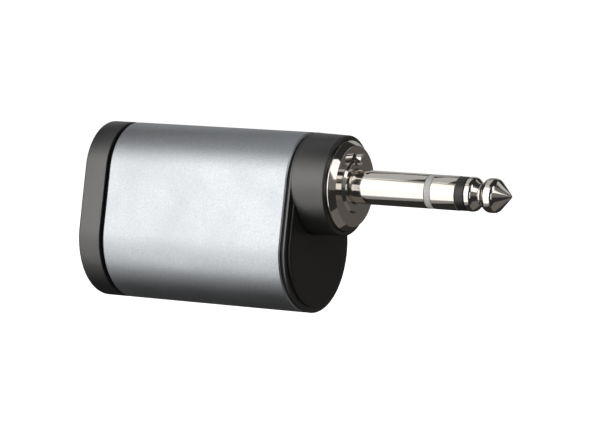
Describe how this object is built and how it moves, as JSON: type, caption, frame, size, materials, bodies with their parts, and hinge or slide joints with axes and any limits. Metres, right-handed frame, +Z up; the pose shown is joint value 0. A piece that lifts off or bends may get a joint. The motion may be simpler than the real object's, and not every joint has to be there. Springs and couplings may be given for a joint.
{
  "type": "wireless guitar transmitter",
  "caption": "Pocket wireless transmitter that plugs into an instrument's 6.35 mm jack: egg-section metal housing, black caps, three-contact plug and a sprung detect pin.",
  "frame": {"origin": "on the plug's axis, at the front face of its collar, where the instrument's jack meets it", "axes": "+X runs along the plug to its tip; +Z is up, from the battery lobe to the plug; the front view looks along +Y"},
  "size_m": [0.0856, 0.0244, 0.034],
  "materials": {
    "anodised_aluminium": "bead-blasted, anodised blue-grey",
    "black_plastic": "fine-textured black moulding",
    "gloss_black_plastic": "smooth black moulding",
    "black_rubber": "matt",
    "polished_nickel": "polished nickel plating",
    "tinned_brass": "satin",
    "steel": "zinc plated",
    "spring_steel": "drawn wire",
    "pale_nylon": "satin pale grey",
    "chassis_plastic": "matt dark grey",
    "circuit_board": "green solder mask",
    "chip_epoxy": "matt black epoxy",
    "ferrite": "matt",
    "shield_tin": "tin plated",
    "ceramic": "fired ceramic",
    "clear_plastic": "clear, polished",
    "cell_sleeve": "shrink film",
    "connector_nylon": "natural nylon",
    "foam": "closed-cell foam",
    "red_insulation": "satin",
    "black_insulation": "satin"
  },
  "bodies": {
    "housing": {"body_sleeve": "anodised_aluminium", "rear_cap": "black_plastic", "rear_seal": "black_rubber", "light_pipe": "clear_plastic", "front_cap": "black_plastic", "front_seal": "black_rubber", "front_panel": "gloss_black_plastic", "plug_collar": "polished_nickel", "plug_sleeve": "polished_nickel", "sleeve_insulator": "pale_nylon", "plug_ring": "polished_nickel", "ring_insulator": "gloss_black_plastic", "plug_tip": "polished_nickel", "sleeve_lug": "tinned_brass", "ring_lug": "tinned_brass", "tip_lug": "tinned_brass", "rear_spacer": "pale_nylon", "ring_spacer": "pale_nylon", "pin_guide": "pale_nylon", "pin_spring": "spring_steel", "detect_switch": "chip_epoxy", "collar_screw_left": "steel", "collar_screw_right": "steel", "chassis_screw_left": "steel", "chassis_screw_right": "steel", "board_screw_front": "steel", "board_screw_rear": "steel", "inner_chassis": "chassis_plastic", "jack_board": "circuit_board", "main_board": "circuit_board", "board_header": "chip_epoxy", "rf_shield": "shield_tin", "radio_chip": "chip_epoxy", "converter_chip": "chip_epoxy", "charger_chip": "chip_epoxy", "power_inductor": "ferrite", "crystal": "shield_tin", "antenna": "ceramic", "status_led": "clear_plastic", "battery_cell": "cell_sleeve", "cell_end_board": "circuit_board", "battery_connector": "connector_nylon", "battery_pad": "foam", "battery_lead_red": "red_insulation", "battery_lead_black": "black_insulation"},
    "insertion_pin": {"power_pin": "polished_nickel", "switch_slider": "pale_nylon"}
  },
  "joints": [
    {"name": "pin_travel", "type": "slide", "parent": "housing", "child": "insertion_pin", "axis": [-1, 0, 0], "range_m": [0, 0.0016], "stiffness_N_per_m": 350, "springref_m": -0.0015, "deforming": ["pin_spring"]}
  ]
}
